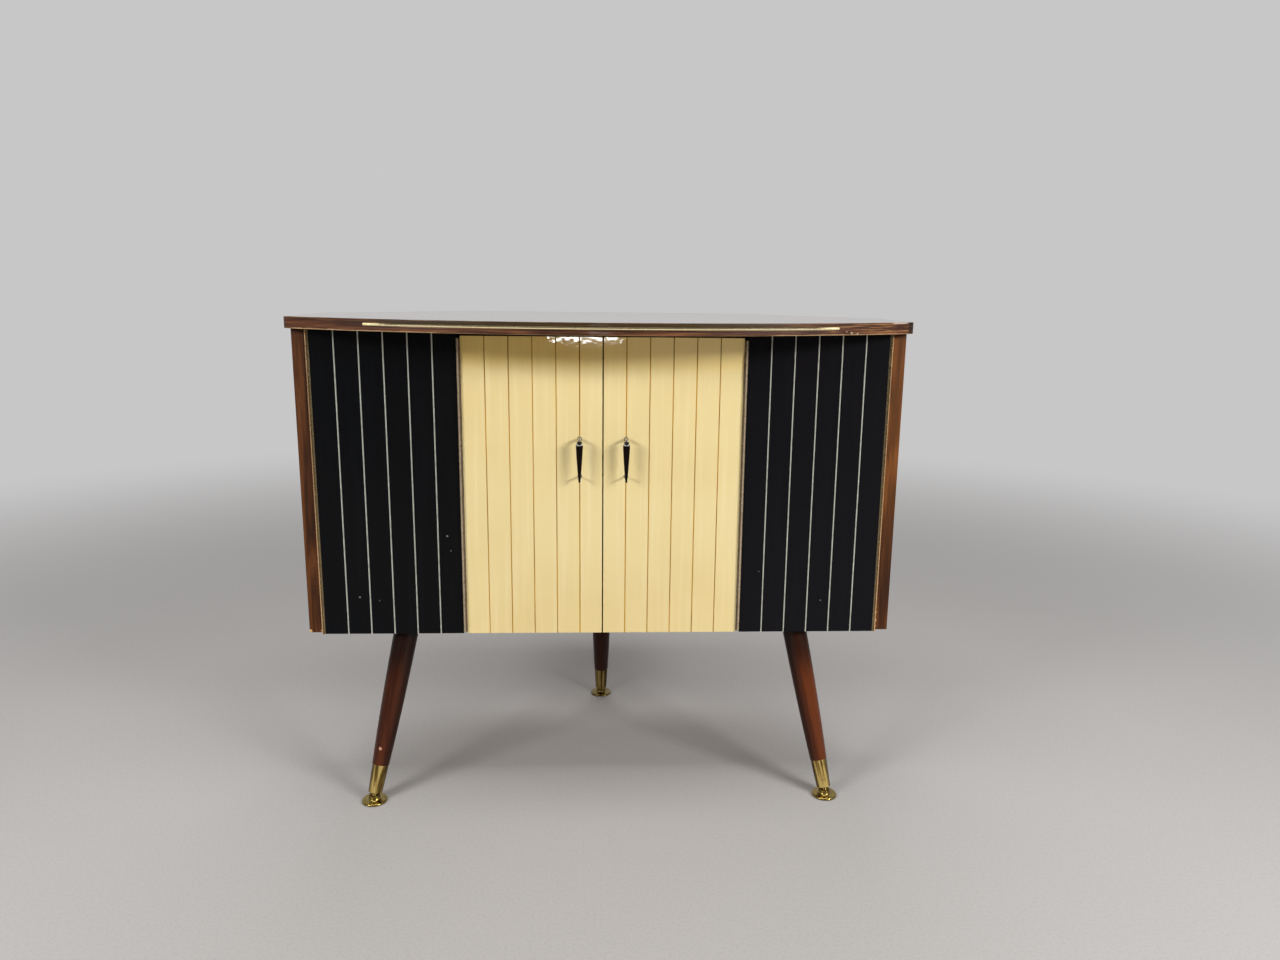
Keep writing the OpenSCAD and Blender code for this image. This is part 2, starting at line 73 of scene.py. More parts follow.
class Wire:
    # one node output, so that shader maths is written as sums
    def __init__(self, wiring, socket):
        self.wiring = wiring
        self.socket = socket

    def maths(self, operation, first, second=0.0):
        return self.wiring.node("ShaderNodeMath", {"operation": operation}, {0: first, 1: second})

    def __add__(self, other):
        return self.maths("ADD", self, other)

    __radd__ = __add__

    def __sub__(self, other):
        return self.maths("SUBTRACT", self, other)

    def __rsub__(self, other):
        return self.maths("SUBTRACT", other, self)

    def __mul__(self, other):
        return self.maths("MULTIPLY", self, other)

    __rmul__ = __mul__

    def __abs__(self):
        return self.maths("ABSOLUTE", self)

    def wave(self):
        return self.maths("SINE", self)

    def highest(self, other):
        return self.maths("MAXIMUM", self, other)

    def rise(self, start, end):
        # 0 up to start, 1 from end on, and a soft step between them
        return self.wiring.node(
            "ShaderNodeMapRange", {"interpolation_type": "SMOOTHSTEP"},
            {"Value": self, "From Min": start, "From Max": end})

    def band(self, start, end, soft):
        # 1 between start and end, with soft steps around them
        return self.rise(start - soft, start + soft) * (1 - self.rise(end - soft, end + soft))


class Wiring:
    # the nodes of a material or of the world, and the one way in which they are made
    def __init__(self, tree):
        self.tree = tree

    def node(self, kind, settings, sockets, output=0):
        made = self.tree.nodes.new(kind)
        for name, value in settings.items():
            if name == "stops":
                ramp = made.color_ramp
                while len(ramp.elements) < len(value):
                    ramp.elements.new(0.5)
                for element, (position, colour) in zip(ramp.elements, value):
                    element.position = position
                    element.color = colour
            else:
                setattr(made, name, value)
        for name, value in sockets.items():
            if isinstance(value, Wire):
                self.tree.links.new(value.socket, made.inputs[name])
            else:
                made.inputs[name].default_value = value
        return Wire(self, made.outputs[output]) if made.outputs else None


class Finish(Wiring):
    # a material whose plain settings are given by socket, such as {"Coat Weight": 0.5}
    def __init__(self, name, settings):
        self.material = bpy.data.materials.new(name)
        self.material.use_nodes = True
        super().__init__(self.material.node_tree)
        self.surface = self.tree.nodes["Principled BSDF"]
        for socket, value in settings.items():
            self.surface.inputs[socket].default_value = value
        self.place = self.node("ShaderNodeTexCoord", {}, {}, "Object")
        self.x = self.axis("X")
        self.y = self.axis("Y")
        self.z = self.axis("Z")

    def axis(self, letter):
        return self.node("ShaderNodeSeparateXYZ", {}, {"Vector": self.place}, letter)

    def noise(self, place, scale, detail=2.0, bend=0.0):
        return self.node(
            "ShaderNodeTexNoise", {},
            {"Vector": place, "Scale": scale, "Detail": detail, "Distortion": bend, "Roughness": 0.5})

    def along(self, turn, stretch, centre=(0, 0, 0), across=1):
        # coordinates whose Z runs along the turned axis, drawn out by stretch, or by across beside it
        return self.node(
            "ShaderNodeMapping", {"vector_type": "TEXTURE"},
            {"Vector": self.place, "Location": centre, "Rotation": turn,
             "Scale": (across, across, stretch)})

    def ramp(self, value, *stops):
        return self.node("ShaderNodeValToRGB", {"stops": stops}, {"Fac": value})

    def mix(self, share, first, second, way="MIX"):
        return self.node(
            "ShaderNodeMix", {"data_type": "RGBA", "blend_type": way},
            {0: share, 6: first, 7: second}, 2)

    def tint(self, mask, colour, tone):
        # a tone is a share and a colour
        share, shade = tone
        return self.mix(mask * share, colour, shade)

    def feed(self, socket, value):
        self.tree.links.new(value.socket, self.surface.inputs[socket])

    def bump(self, height, depth, strength):
        # height is in shares of depth, and depth in metres
        self.feed("Normal", self.node(
            "ShaderNodeBump", {}, {"Height": height, "Distance": depth, "Strength": strength}, "Normal"))

    def spots(self, marks, across, up):
        # 1 inside frayed spots, each given by its two coordinates and its radius
        fray = 0.8 * mm
        frayed = self.noise(self.place, 900, 3) * (2 * fray) - fray
        mask = None
        for sideways, height, reach in marks:
            offset = self.node("ShaderNodeCombineXYZ", {}, {0: across - sideways, 1: up - height})
            away = self.node("ShaderNodeVectorMath", {"operation": "LENGTH"}, {0: offset}, "Value")
            spot = 1 - (away + frayed).rise(reach * 0.7, reach)
            mask = spot if mask is None else mask.highest(spot)
        return mask


# turns that lay the grain along an axis
turns = {"x": (0, math.pi / 2, 0), "y": (-math.pi / 2, 0, 0), "z": (0, 0, 0)}

# figure and fibre say how fine the broad and the fine grain are, stretch how far the figure is drawn
# out, rings how many growth lines it has, pores how dark they are, and layered that the grain runs
# in level layers, for an edge that curves
woods = {
    "topWood": {
        "dark": paint(44, 24, 15), "middle": paint(78, 44, 26), "light": paint(108, 66, 40),
        "figure": 26, "stretch": 14, "rings": 48.4, "fibre": 520, "pores": 0.5, "layered": False,
        "rough": 0.3, "gloss": 0.3, "coat": 1.0, "coatRough": 0.12,
    },
    "rimWood": {
        "dark": paint(50, 26, 14), "middle": paint(86, 48, 28), "light": paint(124, 76, 46),
        "figure": 150, "stretch": 22, "rings": 11, "fibre": 700, "pores": 0.4, "layered": True,
        "rough": 0.45, "gloss": 0.2, "coat": 0.3, "coatRough": 0.1,
    },
    "sideWood": {
        "dark": paint(48, 25, 11), "middle": paint(88, 48, 21), "light": paint(130, 78, 36),
        "figure": 34, "stretch": 16, "rings": 44, "fibre": 600, "pores": 0.45, "layered": False,
        "rough": 0.5, "gloss": 0.15, "coat": 0.0, "coatRough": 0.2,
    },
    "backWood": {
        "dark": paint(124, 90, 58), "middle": paint(152, 116, 78), "light": paint(176, 142, 102),
        "figure": 10, "stretch": 9, "rings": 48.4, "fibre": 420, "pores": 0.3, "layered": False,
        "rough": 0.75, "gloss": 0.3, "coat": 0.0, "coatRough": 0.3,
    },
    "innerWood": {
        "dark": paint(142, 106, 68), "middle": paint(176, 140, 96), "light": paint(202, 168, 122),
        "figure": 16, "stretch": 10, "rings": 44, "fibre": 460, "pores": 0.3, "layered": False,
        "rough": 0.55, "gloss": 0.35, "coat": 0.1, "coatRough": 0.3,
    },
    "battenWood": {
        "dark": paint(168, 126, 80), "middle": paint(196, 156, 106), "light": paint(216, 180, 134),
        "figure": 50, "stretch": 14, "rings": 74.8, "fibre": 520, "pores": 0.2, "layered": False,
        "rough": 0.65, "gloss": 0.3, "coat": 0.0, "coatRough": 0.3,
    },
    "legWood": {
        "dark": paint(46, 19, 9), "middle": paint(70, 32, 16), "light": paint(94, 46, 23),
        "figure": 70, "stretch": 20, "rings": 17.6, "fibre": 800, "pores": 0.2, "layered": False,
        "rough": 0.3, "gloss": 0.12, "coat": 0.1, "coatRough": 0.1,
    },
}
grain = {
    "fibreStretch": 40, "poreStretch": 26, "poreScale": 3.2, "poreEdge": (0.6, 0.72),
    "figureShare": 0.5, "ringShare": 0.28, "fibreShare": 0.36, "shift": 0.06, "depth": 0.06 * mm,
}


# the wear function may paint light and shade as well as wear
def wood(name, turn, centre=(0, 0, 0), wearAndPaintedLight=None):
    look = woods[name]
    finish = Finish(f"{name}.{len(bpy.data.materials)}", {
        "Specular IOR Level": look["gloss"], "Coat Weight": look["coat"],
        "Coat Roughness": look["coatRough"]})

    def drawn(ratio):
        if look["layered"]:
            return finish.along(turns["z"], 1, centre, ratio)
        return finish.along(turn, ratio, centre)

    figure = finish.noise(drawn(look["stretch"]), look["figure"], 4, 0.7)
    rings = (figure * look["rings"]).wave() * 0.5 + 0.5
    fibre = finish.noise(drawn(grain["fibreStretch"]), look["fibre"], 3, 0.2)
    poreNoise = finish.noise(drawn(grain["poreStretch"]), look["fibre"] * grain["poreScale"], 1)
    pores = poreNoise.rise(*grain["poreEdge"])
    tone = figure * grain["figureShare"] + rings * grain["ringShare"] + fibre * grain["fibreShare"]
    colour = finish.ramp(
        tone - grain["shift"], (0.25, look["dark"]), (0.5, look["middle"]), (0.78, look["light"]))
    colour = finish.mix(pores * look["pores"], colour, look["dark"])
    if wearAndPaintedLight:
        colour = wearAndPaintedLight(finish, colour)
    finish.feed("Base Color", colour)
    finish.feed("Roughness", fibre * 0.16 + (look["rough"] - 0.08) + pores * 0.12)
    finish.bump(fibre * 0.6 - pores, grain["depth"], 0.7)
    return finish.material


lacquers = {
    "cream": {
        "colour": paint(236, 216, 158), "warm": paint(228, 204, 142), "pale": paint(242, 226, 176),
        "rough": 0.03, "gloss": 0.5, "dust": 0.12,
    },
    "groove": {
        "colour": paint(214, 168, 34), "warm": paint(196, 146, 20), "pale": paint(226, 184, 52),
        "rough": 0.45, "gloss": 0.3, "dust": 0.2,
    },
    "black": {
        "colour": paint(10, 11, 13), "warm": paint(14, 13, 14), "pale": paint(17, 19, 22),
        "rough": 0.3, "gloss": 0.08, "dust": 0.2,
    },
}
brushing = {
    "cloud": 7, "streaks": 130, "streakStretch": 30, "specks": 1100, "peel": 165, "smear": 22,
    "depth": 0.05 * mm,
}


def lacquer(name, chips=(), chipColour=None, wearAndPaintedLight=None):
    look = lacquers[name]
    finish = Finish(f"{name}Lacquer.{len(bpy.data.materials)}", {"Specular IOR Level": look["gloss"]})
    cloud = finish.noise(finish.place, brushing["cloud"], 4, 0.4)
    streaks = finish.noise(finish.along(turns["z"], brushing["streakStretch"]), brushing["streaks"], 3)
    colour = finish.mix(cloud.rise(0.35, 0.75) * 0.55, look["colour"], look["warm"])
    colour = finish.mix(streaks.rise(0.45, 0.8) * 0.5, colour, look["pale"])
    specks = finish.noise(finish.place, brushing["specks"], 1).rise(0.72, 0.78)
    colour = finish.mix(specks * look["dust"], colour, look["warm"])
    peel = finish.noise(finish.place, brushing["peel"], 0.4) * 0.9 + streaks * 0.1
    if chips:
        chipped = finish.spots(chips, finish.x, finish.z)
        colour = finish.mix(chipped, colour, chipColour)
        peel = peel - chipped * 3
    if wearAndPaintedLight:
        colour = wearAndPaintedLight(finish, colour)
    finish.feed("Base Color", colour)
    smear = finish.noise(finish.place, brushing["smear"], 5, 1.2)
    finish.feed("Roughness", smear * 0.04 + (look["rough"] - 0.02))
    finish.bump(peel, brushing["depth"], 0.6)
    return finish.material


metals = {
    "brass": {
        "clean": paint(196, 164, 92), "stained": paint(92, 72, 30),
        "rough": 0.16, "stains": 0.5, "metal": 1.0,
    },
    "glideBrass": {
        "clean": paint(160, 138, 76), "stained": paint(56, 46, 18),
        "rough": 0.22, "stains": 0.45, "metal": 1.0,
    },
    "inlayBrass": {
        "clean": paint(255, 240, 188), "stained": paint(226, 200, 140),
        "rough": 0.22, "stains": 0.3, "metal": 0.3,
    },
    "moulding": {
        "clean": paint(132, 114, 82), "stained": paint(74, 62, 40),
        "rough": 0.26, "stains": 0.3, "metal": 0.8,
    },
    "hingeBrass": {
        "clean": paint(196, 176, 146), "stained": paint(104, 80, 54),
        "rough": 0.26, "stains": 0.4, "metal": 0.5,
    },
    "strip": {
        "clean": paint(204, 206, 194), "stained": paint(140, 140, 124),
        "rough": 0.34, "stains": 0.6, "metal": 0.45,
    },
    "steel": {
        "clean": paint(150, 148, 144), "stained": paint(92, 84, 76),
        "rough": 0.4, "stains": 0.6, "metal": 1.0,
    },
    "chrome": {
        "clean": paint(186, 183, 175), "stained": paint(110, 104, 94),
        "rough": 0.1, "stains": 0.3, "metal": 0.65,
    },
}
polishing = {"stain": 90, "fine": 1500, "depth": 0.015 * mm}


def metal(name, wearAndPaintedLight=None):
    look = metals[name]
    finish = Finish(f"{name}Metal.{len(bpy.data.materials)}", {"Metallic": look["metal"]})
    stain = finish.noise(finish.place, polishing["stain"], 5, 0.8).rise(0.42, 0.74)
    fine = finish.noise(finish.place, polishing["fine"], 2)
    colour = finish.mix(stain * look["stains"] + fine * 0.12, look["clean"], look["stained"])
    if wearAndPaintedLight:
        colour = wearAndPaintedLight(finish, colour)
    finish.feed("Base Color", colour)
    finish.feed("Roughness", stain * (look["stains"] * 0.3) + fine * 0.05 + (look["rough"] - 0.02))
    finish.bump(fine * 0.4 + stain * look["stains"], polishing["depth"], 0.5)
    return finish.material


plastics = {
    "gripBlack": {"clean": paint(15, 6, 3), "worn": paint(26, 13, 7), "rough": 0.22, "gloss": 0.08},
    "catchBrown": {"clean": paint(70, 46, 30), "worn": paint(92, 66, 44), "rough": 0.4, "gloss": 0.5},
}
pressing = {"cloud": 160, "fine": 1400, "depth": 0.02 * mm}


def plastic(name):
    look = plastics[name]
    finish = Finish(name, {"Specular IOR Level": look["gloss"]})
    cloud = finish.noise(finish.place, pressing["cloud"], 4)
    finish.feed("Base Color", finish.mix(cloud.rise(0.5, 0.8) * 0.5, look["clean"], look["worn"]))
    finish.feed("Roughness", cloud * 0.2 + (look["rough"] - 0.08))
    finish.bump(finish.noise(finish.place, pressing["fine"], 2), pressing["depth"], 0.5)
    return finish.material


def addPiece(name, shape, body, materials, stands=()):
    mesh = bpy.data.meshes.new(name)
    shape.to_mesh(mesh)
    shape.free()
    piece = bpy.data.objects.new(name, mesh)
    bpy.context.scene.collection.objects.link(piece)
    for material in materials:
        mesh.materials.append(material)
    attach(piece, body)
    if stands:
        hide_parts(*stands)
    return piece


# flat and sharp are angles in degrees between two faces
rounding = {"merge": 0.005 * mm, "flat": 0.5, "sharp": 38, "segments": 3}


def softened(node, edge, materials, pick=None):
    # a copy of a CAD node with whole faces and small round edges; pick gives a face its material
    source = frame["nodes"][node]
    shape = bmesh.new()
    shape.from_mesh(source.data)
    bmesh.ops.remove_doubles(shape, verts=shape.verts, dist=rounding["merge"])
    bmesh.ops.dissolve_limit(
        shape, angle_limit=math.radians(rounding["flat"]), verts=shape.verts, edges=shape.edges)
    for face in shape.faces:
        face.smooth = True
        face.material_index = pick(face) if pick else 0
    piece = addPiece(f"{node}.finished", shape, source["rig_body"], materials, [node])
    bevel = piece.modifiers.new("round edges", "BEVEL")
    bevel.width = edge
    bevel.segments = rounding["segments"]
    bevel.limit_method = "ANGLE"
    bevel.angle_limit = math.radians(rounding["sharp"])
    flat = piece.modifiers.new("flat faces", "WEIGHTED_NORMAL")
    flat.weight = 100


def dress(node, material):
    # a CAD node that stays, with a new material
    data = frame["nodes"][node].data
    data.materials.clear()
    data.materials.append(material)


def lengthwise(node):
    # the axis along which a board is longest
    low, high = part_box(node)
    size = high - low
    return max("xyz", key=lambda letter: getattr(size, letter))


print("top board")
topLow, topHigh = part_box("top_board")

# a tone is a share and a colour; places run from left to right, heights are over the board's lower
# face, and depths under its upper one
rim = {
    "edge": 0.9 * mm, "front": (-0.122, -0.114),
    "lines": 620, "linesAcross": 26, "darkLine": (0.5, paint(40, 24, 14)),
    "paleLine": paint(164, 118, 74), "paleFrom": (0.2, 0.34), "paleShares": (0.15, 0.5),
    # over is a painted dark reflection above the inlay
    "over": (-0.27, 0.25, 90 * mm), "overHeight": (9 * mm, 11 * mm),
    "overDarkReflection": (0.75, paint(52, 42, 15)),
    # under is a painted shadow below the inlay
    "under": (-0.24, 0.24, 60 * mm), "underHeight": (4.8 * mm, 5.6 * mm, 0.2 * mm),
    "underShadow": (0.8, paint(34, 20, 8)),
    # gleam is a painted highlight on the upper edge near the right corner
    "gleam": (0.38, 0.403, 4 * mm), "gleamDepth": (2.6 * mm, 1.4 * mm),
    "gleamTone": (0.6, paint(216, 196, 178)),
    # the ends get painted shade where the corners turn away
    "leftEnd": (2 * mm, 4 * mm), "rightEnd": (10 * mm, 8 * mm), "endShade": (0.8, paint(28, 17, 11)),
    "ragged": 150, "raggedStretch": 9,
    "rubbed": [(-0.402, -0.2, 6 * mm, 1), (0.21, 0.4, 12 * mm, 0.7), (-0.401, -0.384, 2 * mm, 1.4)],
    "rubbedHeight": (1.9 * mm, 2.9 * mm), "rubbedRagged": 2.6 * mm,
    "rubbedTone": (0.75, paint(208, 172, 126)),
    "scuffs": 30, "scuffDepth": (2 * mm, 1.1 * mm), "scuffRagged": 2.4 * mm,
    "scuffTone": (0.5, paint(176, 142, 108)),
    "nicks": [(0.316, 3 * mm, 1.5 * mm), (0.309, 4.4 * mm, 1 * mm), (0.325, 1.6 * mm, 1.4 * mm)],
    "nickTone": (0.8, paint(206, 178, 148)),
}


def rimWearAndShade(finish, colour):
    # fine lines all round; in front a painted dark reflection over the inlay, a painted shadow under it,
    # a painted highlight on the upper edge near the right end, and painted shade at both ends
    front = 1 - finish.y.rise(*rim["front"])
    lines = finish.noise(finish.along(turns["z"], 1, across=rim["linesAcross"]), rim["lines"], 3)
    colour = finish.tint(lines.rise(0.5, 0.7), colour, rim["darkLine"])
    least, more = rim["paleShares"]
    pale = finish.x.rise(*rim["paleFrom"]) * more + least
    colour = finish.mix(lines.rise(0.52, 0.36) * pale, colour, rim["paleLine"])
    # painted dark reflection over the inlay in the middle
    start, end = rim["overHeight"]
    over = finish.z.rise(topLow.z + start, topLow.z + end) * finish.x.band(*rim["over"])
    colour = finish.tint(over * front, colour, rim["overDarkReflection"])
    # painted shadow under the inlay
    start, end, soft = rim["underHeight"]
    under = finish.z.band(topLow.z + start, topLow.z + end, soft) * finish.x.band(*rim["under"])
    colour = finish.tint(under * front, colour, rim["underShadow"])
    # painted highlight on the upper edge near the right end
    start, end = rim["gleamDepth"]
    gleam = finish.z.rise(topHigh.z - start, topHigh.z - end) * finish.x.band(*rim["gleam"])
    colour = finish.tint(gleam * front, colour, rim["gleamTone"])
    # painted shade at both ends of the rim
    start, end = rim["leftEnd"]
    ends = 1 - finish.x.rise(topLow.x + start, topLow.x + end)
    start, end = rim["rightEnd"]
    ends = ends.highest(finish.x.rise(topHigh.x - start, topHigh.x - end))
    colour = finish.tint(ends * front, colour, rim["endShade"])

    # lower edge rubbed in stretches, upper edge scuffed, and nicks in front
    ragged = finish.noise(finish.along(turns["x"], rim["raggedStretch"]), rim["ragged"], 4)
    start, end = rim["rubbedHeight"]
    lowEdge = 1 - (finish.z + ragged * rim["rubbedRagged"]).rise(topLow.z + start, topLow.z + end)
    rubbed = None
    for start, end, soft, strength in rim["rubbed"]:
        stretch = finish.x.band(start, end, soft) * strength
        rubbed = stretch if rubbed is None else rubbed.highest(stretch)
    colour = finish.tint(lowEdge * rubbed, colour, rim["rubbedTone"])
    start, end = rim["scuffDepth"]
    highEdge = (finish.z - ragged * rim["scuffRagged"]).rise(topHigh.z - start, topHigh.z - end)
    scuffs = highEdge * finish.noise(finish.place, rim["scuffs"], 2).rise(0.45, 0.6)
    colour = finish.tint(scuffs, colour, rim["scuffTone"])
    nicks = finish.spots(
        [(across, topLow.z + up, reach) for across, up, reach in rim["nicks"]], finish.x, finish.z)
    return finish.tint(nicks * front, colour, rim["nickTone"])


topFace = wood("topWood", turns["x"])
topRim = wood("rimWood", turns["x"], wearAndPaintedLight=rimWearAndShade)
plyFace = wood("innerWood", turns["x"])
softened(
    "top_board", rim["edge"], [topFace, topRim, plyFace],
    lambda face: 0 if face.normal.z > 0.5 else 2 if face.normal.z < -0.5 else 1)

print("sides, back and inner boards")
sideLow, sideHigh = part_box("side_left")
posts = {
    "edge": 0.7 * mm, "glow": 70, "glowStretch": 14, "glowTone": (0.35, paint(146, 84, 36)),
    # the right side's pale tone is painted light, and the left side's dark share painted shade
    "right": (-0.1, 0.1), "lowEnd": (60 * mm, 160 * mm), "paintedLightTone": (0.16, paint(156, 98, 40)),
    "dark": paint(20, 12, 8), "leftPaintedShade": 0.36, "darkLowRight": 0.42,
    "head": (10 * mm, 3 * mm), "headShadeTone": (0.7, paint(30, 18, 12)),
    "chips": [  # place from left to right, height above the side's foot, radius
        (sideLow.x + 1 * mm, 2 * mm, 3.2 * mm), (sideHigh.x, 3 * mm, 2 * mm),
        (-sideHigh.x, 26 * mm, 1.8 * mm), (-sideHigh.x, 14 * mm, 2.4 * mm),
        (-sideHigh.x, 5 * mm, 1.6 * mm)],
    "chipDepth": (2 * mm, 6 * mm), "chipColour": paint(206, 166, 112),
}
boardEdges = {"back": 0.4 * mm, "inner": 0.5 * mm, "batten": 0.6 * mm}


def postWearAndShade(finish, colour):
    # amber streaks, painted shade on the left side, painted light on the right side's upper part with
    # that side darker towards its foot, a painted shadow of the lip at the head, and chipped lower
    # corners
    start, end = posts["chipDepth"]
    inFront = 1 - finish.y.rise(sideLow.y + start, sideLow.y + end)
    chips = [(across, sideLow.z + up, reach) for across, up, reach in posts["chips"]]
    chipped = finish.spots(chips, finish.x, finish.z) * inFront
    streaks = finish.noise(finish.along(turns["z"], posts["glowStretch"]), posts["glow"], 3)
    colour = finish.tint(streaks.rise(0.5, 0.78), colour, posts["glowTone"])
    # painted light on the right side's upper part, painted shade on the left side, right side darker to
    # its foot
    right = finish.x.rise(*posts["right"])
    start, end = posts["lowEnd"]
    low = 1 - finish.z.rise(sideLow.z + start, sideHigh.z - end)
    colour = finish.tint(right * (1 - low), colour, posts["paintedLightTone"])
    dark = (1 - right) * posts["leftPaintedShade"] + right * low * posts["darkLowRight"]
    colour = finish.mix(dark, colour, posts["dark"])
    # painted shadow of the lip on the head of each side
    start, end = posts["head"]
    colour = finish.tint(
        finish.z.rise(sideHigh.z - start, sideHigh.z - end), colour, posts["headShadeTone"])
    return finish.mix(chipped, colour, posts["chipColour"])


sideFace = wood("sideWood", turns["z"], wearAndPaintedLight=postWearAndShade)
for side in ("left", "right"):
    softened(f"side_{side}", posts["edge"], [sideFace])
backFace = wood("backWood", turns["z"])
for node in ("back_left", "back_right", "rear_board"):
    softened(node, boardEdges["back"], [backFace])
innerFaces = {letter: wood("innerWood", turns[letter]) for letter in "xyz"}
for node in ("bottom_board", "shelf"):
    softened(node, boardEdges["inner"], [innerFaces[lengthwise(node)]])
# the rail's front face is black, painted shade seen through the gap under the lip
softened(
    "top_rail", boardEdges["inner"], [innerFaces["x"], lacquer("black")],
    lambda face: 1 if face.normal.y < -0.5 else 0)
battenFaces = {letter: wood("battenWood", turns[letter]) for letter in "xyz"}
for node in frame["nodes"]:
    if "batten" in node or "cleat" in node:
        softened(node, boardEdges["batten"], [battenFaces[lengthwise(node)]])

print("doors and panels")
doorLow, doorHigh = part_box("door_left")
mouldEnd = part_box("edge_moulding_right")[1].x
doors = {
    "edge": 0.35 * mm, "grooveDepth": (0.05 * mm, 1.2 * mm), "margin": 2 * mm,
    "footHeight": 180 * mm, "footTone": paint(250, 246, 240),
    # the lip tone is a painted warm shade under the lip, and the pale tone painted light on its right
    # part
    "lip": (55 * mm, 20 * mm), "lipShadeTint": paint(255, 246, 206),
    "paleFrom": (-0.08, 0.14), "paintedLightTone": paint(252, 228, 158),
    "dirt": 260, "dirtStretch": 30, "dirtShare": 0.35, "topGrooveShade": (60 * mm, 20 * mm),
    "topGrooveShadeShare": 0.4, "dirtAndShadeColour": paint(112, 64, 2),
}
panels = {
    "edge": 0.35 * mm, "stripEdge": 0.25 * mm, "chipColour": paint(120, 116, 112),
    "chips": {  # place from left to right, height, radius
        "left": [(-0.2145, 0.392, 1.6 * mm), (-0.210, 0.371, 0.9 * mm), (-0.338, 0.304, 1.3 * mm),
                 (-0.311, 0.299, 0.8 * mm)],
        "right": [(0.221, 0.340, 0.9 * mm), (0.311, 0.297, 1.1 * mm)]},
    "fadedTone": (0.02, paint(96, 84, 98)),
}
edgeMoulding = {
    # the line is a painted dark reflection, and the outer colour a painted highlight
    "edge": 0.4 * mm, "line": (2.4 * mm, 1.7 * mm, 0.2 * mm), "darkReflectionLine": paint(40, 28, 16),
    "outer": (1.7 * mm, 1.3 * mm), "outerHighlight": paint(236, 190, 138),
}


def inGroove(face):
    # 1 for the walls and floor of a groove, which lie behind the door's front and off its edges
    middle = face.calc_center_median()
    start, end = doors["grooveDepth"]
    inside = doorLow.y + start < middle.y < doorLow.y + end
    within = doorLow.x + doors["margin"] < -abs(middle.x) < doorHigh.x - doors["margin"]
    return 1 if inside and within else 0


def doorShading(finish, colour):
    # a little darker towards the foot, a painted warm shade under the lip, and painted light that pales
    # it to the right
    foot = 1 - finish.z.rise(doorLow.z, doorLow.z + doors["footHeight"])
    colour = finish.mix(foot, colour, doors["footTone"], "MULTIPLY")
    start, end = doors["lip"]
    lip = finish.z.rise(doorHigh.z - start, doorHigh.z - end)
    colour = finish.mix(lip, colour, doors["lipShadeTint"], "MULTIPLY")
    return finish.mix(lip * finish.x.rise(*doors["paleFrom"]), colour, doors["paintedLightTone"])


def grooveDirtAndShade(finish, colour):
    # dirt streaks in the grooves, and painted shade in them near the top
    streaks = finish.noise(finish.along(turns["z"], doors["dirtStretch"]), doors["dirt"], 3)
    # painted shade near the top of the grooves, under the lip
    start, end = doors["topGrooveShade"]
    top = finish.z.rise(doorHigh.z - start, doorHigh.z - end) * doors["topGrooveShadeShare"]
    dirt = streaks.rise(0.46, 0.6) * doors["dirtShare"] + top
    return finish.mix(dirt, colour, doors["dirtAndShadeColour"])


def faded(finish, colour):
    return finish.tint(1, colour, panels["fadedTone"])


def mouldingReflections(finish, colour):
    # dull inside, then a painted dark reflection line, and a painted highlight on the outer side
    start, end, soft = edgeMoulding["line"]
    line = abs(finish.x).band(mouldEnd - start, mouldEnd - end, soft)
    colour = finish.mix(line, colour, edgeMoulding["darkReflectionLine"])
    start, end = edgeMoulding["outer"]
    outer = abs(finish.x).rise(mouldEnd - start, mouldEnd - end)
    return finish.mix(outer, colour, edgeMoulding["outerHighlight"])


for side in ("left", "right"):
    softened(
        f"door_{side}", doors["edge"],
        [lacquer("cream", wearAndPaintedLight=doorShading), lacquer("groove", wearAndPaintedLight=grooveDirtAndShade)], inGroove)
    black = lacquer(
        "black", panels["chips"][side], panels["chipColour"], faded if side == "right" else None)
    softened(f"front_panel_{side}", panels["edge"], [black])
    softened(f"panel_strips_{side}", panels["stripEdge"], [metal("strip")])
    softened(f"edge_moulding_{side}", edgeMoulding["edge"], [metal("moulding", mouldingReflections)])

print("handles, hinges, catches and inlay")
glideBrass = metal("glideBrass")
steel = metal("steel")
grip = plastic("gripBlack")
catchBody = plastic("catchBrown")
inlayLow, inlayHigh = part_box("top_inlay")
pinMiddle = sum(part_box("hinge_pin_right"), Vector()) / 2
gripLow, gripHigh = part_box("handle_grip_right")
gripMiddle = (gripLow + gripHigh) / 2
collar = {
    # the neck tone is a painted dark reflection, and the shine a painted highlight
    "neck": (0.4 * mm, 5.4 * mm, 0.3 * mm), "neckReach": (3.4 * mm, 3.8 * mm),
    "neckDarkReflection": (0.9, paint(16, 14, 14)), "shine": (-1.6 * mm, 0.3 * mm, 0.2 * mm),
    "shineSlope": 0.7, "shineReach": (3.9 * mm, 4.2 * mm), "shineDepth": 0.5 * mm,
    "shineColour": paint(252, 250, 244),
}
knuckles = {
    # the tone is painted shade on the knuckles' side towards the door
    "doorSide": (0.6 * mm, 0.1 * mm), "depth": (1 * mm, 1.6 * mm), "tone": (0.75, paint(54, 40, 24)),
}
inlay = {
    "edge": 0.3 * mm, "upper": (1.1 * mm, 1.5 * mm), "ends": (34 * mm, 8 * mm),
    # the upper tone is tarnish and a painted dark reflection
    "tarnishAndDarkReflection": (0.95, paint(70, 56, 26)),
}
# painted shade on the rear glide, under the cabinet
rearGlideShade = (0.4, paint(52, 38, 16))
catchEdge = 0.6 * mm


